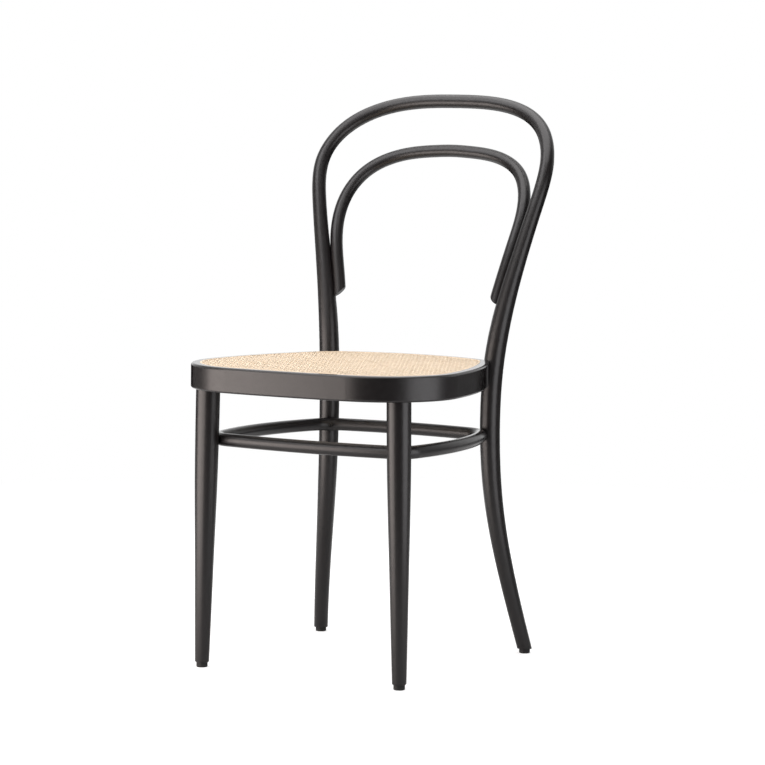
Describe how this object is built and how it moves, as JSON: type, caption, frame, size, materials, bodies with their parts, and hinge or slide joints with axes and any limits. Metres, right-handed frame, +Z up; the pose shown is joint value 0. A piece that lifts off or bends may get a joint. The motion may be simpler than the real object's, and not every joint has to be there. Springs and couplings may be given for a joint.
{
  "type": "chair",
  "caption": "Bentwood bistro side chair: bent back loop with inner arch, caned seat in a bent seat ring, turned front legs and a leg ring, in black lacquer",
  "frame": {"origin": "middle of the footprint's box, on the floor that the glides stand on", "axes": "+Z up, -Y toward the front of the seat, +X to the right seen from the front; the chair mirrors itself about x = 0"},
  "size_m": [0.4214, 0.5212, 0.8427],
  "materials": {
    "lacquered_wood": "black satin lacquer",
    "cane": "natural woven cane webbing",
    "reed_spline": "natural reed",
    "glide": "matt black",
    "fastener": "dark oxide"
  },
  "bodies": {
    "root": {"back_loop": "lacquered_wood", "inner_arch": "lacquered_wood", "seat_ring": "lacquered_wood", "leg_ring": "lacquered_wood", "front_leg_right": "lacquered_wood", "front_leg_left": "lacquered_wood", "arch_screw_plugs": "lacquered_wood", "cane_panel": "cane", "cane_spline": "reed_spline", "glide_front_right": "glide", "glide_front_left": "glide", "glide_rear_right": "glide", "glide_rear_left": "glide", "glide_nails": "fastener", "leg_ring_screws": "fastener", "leg_lock_screws": "fastener", "arch_screws": "fastener", "seat_bolts": "fastener", "seat_bolt_washers": "fastener", "seat_bolt_nuts": "fastener"}
  },
  "joints": []
}
